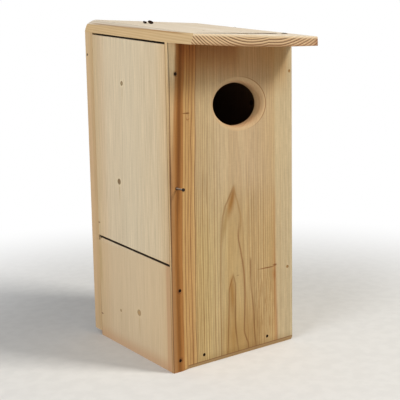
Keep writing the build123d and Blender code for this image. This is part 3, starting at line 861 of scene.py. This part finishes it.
def back_pine():
    """A wide flat-sawn board: flames up its middle, straight grain at its edges."""
    corner = Vector((back_high.x, back_high.y, 0))
    board = Board("back_flat_sawn_pine", corner, UP, LEFT, FORWARD)
    board.grow(
        pith=(128.0, 62.0),
        lean=(0.01, 0.05),
        ring=5.0,
        early=[(0.0, "c6a678"), (0.3, "caac7e"), (0.6, "c6a474"), (0.94, "c7aa80")],
        late=[(0.0, "9a7040"), (1.0, "a0784a")],
        contrast=[(0.0, 0.6), (0.5, 0.85), (0.9, 0.5), (0.94, 0.3)],
        sway=4.0,
        seed=19.0,
    )
    for along, from_edge, size in ((430, 82, 7.0), (262, 196, 9.0), (120, 60, 5.0)):
        board.mark((along, from_edge), (size * 3.5, size * 1.2), "b08858", 0.45)
        board.mark((along, from_edge), (size, size), "6f4a26", 0.9, soft=0.4)
        board.mark((along, from_edge), (size * 0.6, size * 0.6), "96693a", 0.8, soft=0.6)
    # Its left edge: pink at mid-height, yellow above, with a small nail hole near the top painted
    # black as its shade
    left_edge = board.face(LEFT)
    board.lay("c6aa84", 0.7, left_edge)
    board.lay("c2a07a", 0.5, left_edge, board.zone(board.along, 40, 500, 200))
    board.lay("b6986c", 0.5, left_edge, board.zone(board.inward, 17, 40, 10))
    hole_up, hole_in = (
        add(board.tree, "Math", {0: measure, 1: place}, operation="SUBTRACT")
        for measure, place in zip((board.along, board.inward), BACK_NAIL_HOLE)
    )
    hole = add(board.tree, "CombineXYZ", {0: hole_up, 1: hole_in})
    hole_reach = add(board.tree, "VectorMath", {0: hole}, operation="LENGTH")
    board.lay(SHADE_BLACK, 0.95, left_edge, board.zone(hole_reach.outputs["Value"], -9, 2.6, 1.4))
    board.shade(board.fibres(320, 22, 2.0, 4.0), 0.94, 1.06)
    board.shade(board.fibres(70, 2.0, 2.0, 6.0), 0.94, 1.06)
    board.end_grain("b48a5e", "8f6437", 0.8)
    board.darken_inside()
    return board.finish()


def floor_pine():
    """A plain flat-sawn board, hardly seen."""
    board = Board("floor_pine", floor_low, RIGHT, REARWARD, UP)
    board.grow(
        pith=(150.0, 70.0),
        lean=(0.03, 0.0),
        ring=4.5,
        early=[(0.0, "bf9c6c"), (1.0, "c2a070")],
        late=[(0.0, "94693a"), (1.0, "986e3f")],
        contrast=[(0.0, 0.7), (1.0, 0.8)],
        sway=3.0,
        seed=23.0,
    )
    board.shade(board.fibres(300, 20, 2.0, 1.0), 0.93, 1.07)
    board.end_grain("ad8355", "875c30", 0.8)
    board.darken_inside()
    return board.finish()


ROOF_SLOPE = math.radians(6.7)
ROOF_OVERHANG = 68.0          # past the front board, in millimetres as the next three are
FRONT_HEIGHT = 563.0
ROOF_NOSE = 19.0              # the roof's thickness at its front end
ROOF_GAIN = 6.0 / 357.3       # it grows thicker towards the rear


def roof_axes():
    """The roof's two directions in the side view, and the lower left corner of its front end."""
    uphill = Vector((0, math.cos(ROOF_SLOPE), math.sin(ROOF_SLOPE)))
    square_up = Vector((0, -math.sin(ROOF_SLOPE), math.cos(ROOF_SLOPE)))
    nose_foot = Vector((roof_low.x, front_low.y - ROOF_OVERHANG * MM, 0))
    nose_foot.z = (FRONT_HEIGHT - ROOF_OVERHANG * math.tan(ROOF_SLOPE)) * MM
    return uphill, square_up, nose_foot


def roof_pine():
    """A thick plank, its top bleached pale by sun and rain, its end grain open at the front."""
    uphill, square_up, nose_foot = roof_axes()
    board = Board("roof_weathered_pine", nose_foot, uphill, RIGHT, square_up)
    # The years grow wider towards the right edge
    board.sway_extra = add(
        board.tree, "MapRange", {0: board.across, 1: 160.0, 2: 290.0, 3: 0.0, 4: -39.0}
    )
    board.grow(
        pith=(123.0, 152.0),
        lean=(0.0, 0.03),
        ring=4.1,
        early=[(0.0, "cdb084"), (1.0, "cdac7f")],
        late=[(0.0, "b08c5c"), (1.0, "ab8454")],
        contrast=[(0.0, 0.5), (1.0, 0.6)],
        sway=0.8,
        seed=31.0,
        late_share=0.45,
        weakest=0.75,
        uneven_years=0.7,
    )
    board.shade(board.fibres(260, 9, 2.0, 8.0), 0.95, 1.05)
    cut = board.end_grain("dcbc92", "56300f", 1.0)
    # The end has split and roughened towards its right corner, where the rings stand steep
    rough = board.zone(board.fibres(4.0, 5.0, 2.0, 40.0), 0.5, 2.0, 0.2)
    board.lay("b47a5c", 0.3, cut, rough, board.zone(board.across, 205, BEYOND, 80))
    board.lay("8e5838", 0.5, cut, board.zone(board.across, 266, BEYOND, 8))
    board.lay("8a5c34", 0.6, cut, board.zone(board.inward, -5, 3.5, 6.0))
    # Its upper arris is worn pale
    board.lay("ead4b2", 0.75, cut, board.zone(board.inward, 15.5, 40, 3.0))
    bleached = board.face(square_up, 0.35, 0.65)
    bleach = add(
        board.tree,
        "Mix",
        {0: board.line, 6: linear("e2d8c8"), 7: linear("d2c3aa")},
        data_type="RGBA",
    )
    board.lay(bleach.outputs[2], 0.9, bleached)
    # Painted shade: the front of the lifted grain is near black, for the shadow under the small
    # lifted ridge
    shaded_grain_front = board.face(-uphill, 0.3, 0.5)
    board.lay("2a1a0e", 0.95, shaded_grain_front, board.zone(board.along, 3.2, 200, 0.6))
    # The arris between the left edge and the planed bevel above it is browner
    arris = board.zone(board.inward, 15.8, 18.2, 1.6)
    board.patch("9a7040", 0.6, (30, 330, 40), (-9, 12, 2), arris)
    board.shade(board.fibres(60, 1.8, 2.0, 9.0), 0.95, 1.05)
    board.darken_inside(board.zone(board.inward, -9, 2.5, 1.0))
    return board.finish(0.75)


def build_lifted_grain(material):
    """A long sliver of the roof's top that has lifted along a line across its front part."""
    uphill, square_up, nose_foot = roof_axes()
    # How deep the sliver is from front to rear, and how far it is sunk into the roof
    depth, root = 9, -0.4
    # Places across the roof and how far the grain has lifted there
    lifts = [
        (9, 0.3), (35, 0.6), (60, 0.7), (85, 0.8), (120, 0.9), (150, 1.0), (175, 1.2), (200, 1.3),
        (214, 0.9), (222, 0.3), (229, 0.4), (234, 1.8), (242, 1.6), (248, 0.1),
    ]
    sliver = bmesh.new()
    rows = []
    for across, lift in lifts:
        # It wavers, 2 mm behind the roof's front end at the left and 50 mm at the right
        front = 2.2 + 0.2 * across + 0.7 * math.sin(across / 11)
        rear = front + depth
        corners = []
        for along, height in ((front, root), (front, lift), (rear, 0.0), (rear, root)):
            up = ROOF_NOSE + ROOF_GAIN * along + height
            place = nose_foot + (uphill * along + square_up * up) * MM
            place.x += across * MM
            corners.append(sliver.verts.new(place))
        rows.append(corners)
    for left, right in zip(rows, rows[1:]):
        for low, high in ((0, 1), (1, 2), (2, 3), (3, 0)):
            sliver.faces.new((left[low], left[high], right[high], right[low]))
    sliver.faces.new(rows[0])
    sliver.faces.new(rows[-1])
    bmesh.ops.recalc_face_normals(sliver, faces=sliver.faces)
    lifted = build_piece("roof_lifted_grain", sliver, material)
    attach(lifted, "box")


# ---- Metal ----
def metal(name, colours, patch_size, roughness, metallic, bump, shine=0.5):
    """A metal whose colour and gloss change in patches of a size in millimetres.

    Roughness is at its low and high ends, and bump is how deep the surface is pitted.
    """
    material = bpy.data.materials.new(name)
    tree = empty_tree(material)
    point = add(tree, "TexCoord").outputs["Object"]
    patches = add(
        tree,
        "TexNoise",
        {"Vector": point, "Scale": 1 / (patch_size * MM), "Detail": 3.0, "Roughness": 0.6},
    )
    colour = add(tree, "ValToRGB", {0: patches}, stops=[(0.35, colours[0]), (0.65, colours[1])])
    gloss = add(
        tree,
        "MapRange",
        {0: patches, 1: NOISE_LOW, 2: NOISE_HIGH, 3: roughness[0], 4: roughness[1]},
    )
    relief = add(tree, "Bump", {"Strength": 0.5, "Distance": bump * MM, "Height": patches})
    shader = add(
        tree,
        "BsdfPrincipled",
        {
            "Base Color": colour,
            "Roughness": gloss,
            "Metallic": metallic,
            "Specular IOR Level": shine,
            "Normal": relief,
        },
    )
    add(tree, "OutputMaterial", {"Surface": shader})
    return material


def latch_steel():
    """Drawn wire nail with a dark head, painted shade under its shank and a painted highlight along
    its top.
    """
    material = metal("drawn_steel", ("8f8779", "c4bcae"), 2.5, (0.35, 0.6), 0.6, 0.02)
    tree = material.node_tree
    point = add(tree, "TexCoord").outputs["Object"]
    from_axis = add(tree, "VectorMath", {0: point, 1: latch_middle}, operation="SUBTRACT")
    parts = add(tree, "SeparateXYZ", {0: from_axis})
    # Painted highlight on the upper half of the shank, up to a few millimetres behind the head;
    # painted shade below it
    lit_top = add(
        tree,
        "MapRange",
        {0: parts.outputs[2], 1: -0.3 * MM, 2: 0.5 * MM},
        interpolation_type="SMOOTHSTEP",
    )
    head = latch_low.y - latch_middle.y
    behind_head = add(
        tree,
        "MapRange",
        {0: parts.outputs[1], 1: head + 3 * MM, 2: head + 5 * MM},
        interpolation_type="SMOOTHSTEP",
    )
    painted_highlight = add(tree, "Math", {0: lit_top, 1: behind_head}, operation="MULTIPLY")
    shader = next(node for node in tree.nodes if node.type == "BSDF_PRINCIPLED")
    metal_colour = shader.inputs["Base Color"].links[0].from_socket
    # Dark below the painted highlight: painted shade under the shank, and the dark head
    mixed = add(tree, "Mix", {0: painted_highlight, 6: linear("22160c"), 7: metal_colour}, data_type="RGBA")
    tree.links.new(mixed.outputs[2], shader.inputs["Base Color"])
    return material


# ---- Duckling ladder: welded square mesh of round galvanised wire ----
MESH_PITCH = 12.7 * MM
WIRE_RADIUS = 0.42 * MM
WIRE_SIDES = 10


def add_wire(mesh, start, end):
    """One straight round wire between two points."""
    length = (end - start).length
    turn = (end - start).to_track_quat("Z", "Y").to_matrix().to_4x4()
    bmesh.ops.create_cone(
        mesh,
        cap_ends=True,
        segments=WIRE_SIDES,
        radius1=WIRE_RADIUS,
        radius2=WIRE_RADIUS,
        depth=length,
        matrix=Matrix.Translation((start + end) / 2) @ turn,
    )


def build_wire_mesh(material):
    """Upright wires lie against the wood, cross wires on top of them, sunk in where welded."""
    margin = (mesh_high.x - mesh_low.x) % MESH_PITCH / 2
    wires = bmesh.new()
    columns = round((mesh_high.x - mesh_low.x) / MESH_PITCH)
    rows = round((mesh_high.z - mesh_low.z) / MESH_PITCH)
    for column in range(columns + 1):
        x = mesh_low.x + margin + column * MESH_PITCH
        y = mesh_low.y + WIRE_RADIUS
        add_wire(wires, Vector((x, y, mesh_low.z)), Vector((x, y, mesh_high.z)))
    for row in range(rows + 1):
        z = mesh_low.z + margin + row * MESH_PITCH
        y = mesh_high.y - WIRE_RADIUS
        add_wire(wires, Vector((mesh_low.x, y, z)), Vector((mesh_high.x, y, z)))
    for part in wires.faces:
        part.smooth = len(part.verts) == 4
    ladder = build_piece("ladder_wires", wires, material)
    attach(ladder, "box")
    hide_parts("ladder_mesh")


# ---- Studio ----
def build_light(name, place, target, size, power, colour):
    """A soft rectangular lamp, aimed at the target."""
    lamp_data = bpy.data.lights.new(name, "AREA")
    lamp_data.shape = "RECTANGLE"
    lamp_data.size, lamp_data.size_y = size
    lamp_data.energy = power
    lamp_data.color = linear(colour)[:3]
    lamp = bpy.data.objects.new(name, lamp_data)
    lamp.location = place
    lamp.rotation_euler = (target - place).to_track_quat("-Z", "Y").to_euler()
    bpy.context.scene.collection.objects.link(lamp)


AMBIENT = 0.24                # the even light from all round
FLOOR_FADE = (0.35, 1.3)      # metres from the object: painted floor, then plain white
FLOOR_HALF = 6.0              # metres from the middle of the floor to its edges


def seen_by_camera(tree):
    """On for what the camera sees, straight or in a reflection, and off for light on surfaces."""
    path = add(tree, "LightPath")
    mirrored = add(
        tree,
        "Math",
        {0: path.outputs["Is Glossy Ray"], 1: path.outputs["Is Transmission Ray"]},
        operation="MAXIMUM",
    )
    return add(tree, "Math", {0: path.outputs["Is Camera Ray"], 1: mirrored}, operation="MAXIMUM")


def build_lamps():
    """Two soft lamps, aimed at the middle of the box."""
    middle = Vector((0, 0, 0.32))
    # Tall soft light at the front right, which puts the roof's soft shadow on the front board
    build_light("key", Vector((1.5, -2.05, 2.7)), middle, (0.9, 0.9), 94, "fffaf2")
    # Wide soft light at the left, for the door and the strip of front board beside it
    build_light("left_fill", Vector((-2.9, -0.75, 1.35)), middle, (1.6, 1.6), 60, "fbfcff")


def build_backdrop():
    """Plain white to the eye, and a low even light on the object."""
    world = bpy.data.worlds.new("studio")
    tree = empty_tree(world)
    seen = seen_by_camera(tree)
    ambient = add(tree, "Background", {"Color": linear("ffffff"), "Strength": AMBIENT})
    backdrop = add(tree, "Background", {"Color": linear("ffffff"), "Strength": 1.0})
    mixed = add(tree, "MixShader", {0: seen, 1: ambient, 2: backdrop})
    add(tree, "OutputWorld", {"Surface": mixed})
    bpy.context.scene.world = world


def build_floor():
    """Matt painted floor, which keeps the object's shadow and fades to white away from it."""
    paint = bpy.data.materials.new("matt_pale_paint")
    tree = empty_tree(paint)
    point = add(tree, "TexCoord").outputs["Object"]
    speckle = add(tree, "TexNoise", {"Vector": point, "Scale": 40.0, "Detail": 3.0})
    colour = add(tree, "ValToRGB", {0: speckle}, stops=[(0.4, "dededc"), (0.6, "e2e2e0")])
    shader = add(tree, "BsdfPrincipled", {"Base Color": colour, "Roughness": 0.9})
    away = add(tree, "VectorMath", {0: point}, operation="LENGTH")
    far = add(
        tree,
        "MapRange",
        {0: away.outputs["Value"], 1: FLOOR_FADE[0], 2: FLOOR_FADE[1]},
        interpolation_type="SMOOTHSTEP",
    )
    faded = add(tree, "Math", {0: far, 1: seen_by_camera(tree)}, operation="MULTIPLY")
    white = add(tree, "Emission", {"Color": linear("ffffff"), "Strength": 1.0})
    mixed = add(tree, "MixShader", {0: faded, 1: shader, 2: white})
    add(tree, "OutputMaterial", {"Surface": mixed})
    grid = bmesh.new()
    bmesh.ops.create_grid(grid, x_segments=1, y_segments=1, size=FLOOR_HALF)
    ground = build_piece("studio_floor", grid, paint)


def dress(material, *names):
    """Gives one material to each of the named pieces."""
    for name in names:
        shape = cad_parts[name].data
        shape.materials.clear()
        shape.materials.append(material)


build_camera()
build_lamps()
build_backdrop()
build_floor()
dress(front_pine(), "front_board")
dress(left_pine(), "side_door", "side_lower_panel")
dress(right_pine(), "right_side_panel")
dress(back_pine(), "back_board")
dress(floor_pine(), "floor")
roof_wood = roof_pine()
dress(roof_wood, "roof")
build_lifted_grain(roof_wood)

# Black annealed iron: driven heads are dull and nearly black under a skin of scale and rust
iron = metal("annealed_iron", ("160c05", "2a1a0c"), 1.5, (0.8, 0.95), 0.0, 0.05, 0.08)
dress(iron, *(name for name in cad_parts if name.endswith("_nails")))
# Heads that have rusted through to the brown of the wood round them
rusted = metal("rusted_iron", ("85663c", "a8875a"), 1.2, (0.85, 0.95), 0.0, 0.05, 0.08)
dress(rusted, "front_right_nails")
dress(latch_steel(), "latch_nail")
# Hot-dip zinc: pale grey spangle with dull patches
zinc = metal("galvanised_zinc", ("7e8386", "a7abad"), 3.0, (0.4, 0.6), 0.9, 0.03)
dress(zinc, "ladder_staples")
build_wire_mesh(zinc)

bpy.context.scene.view_settings.view_transform = "Standard"
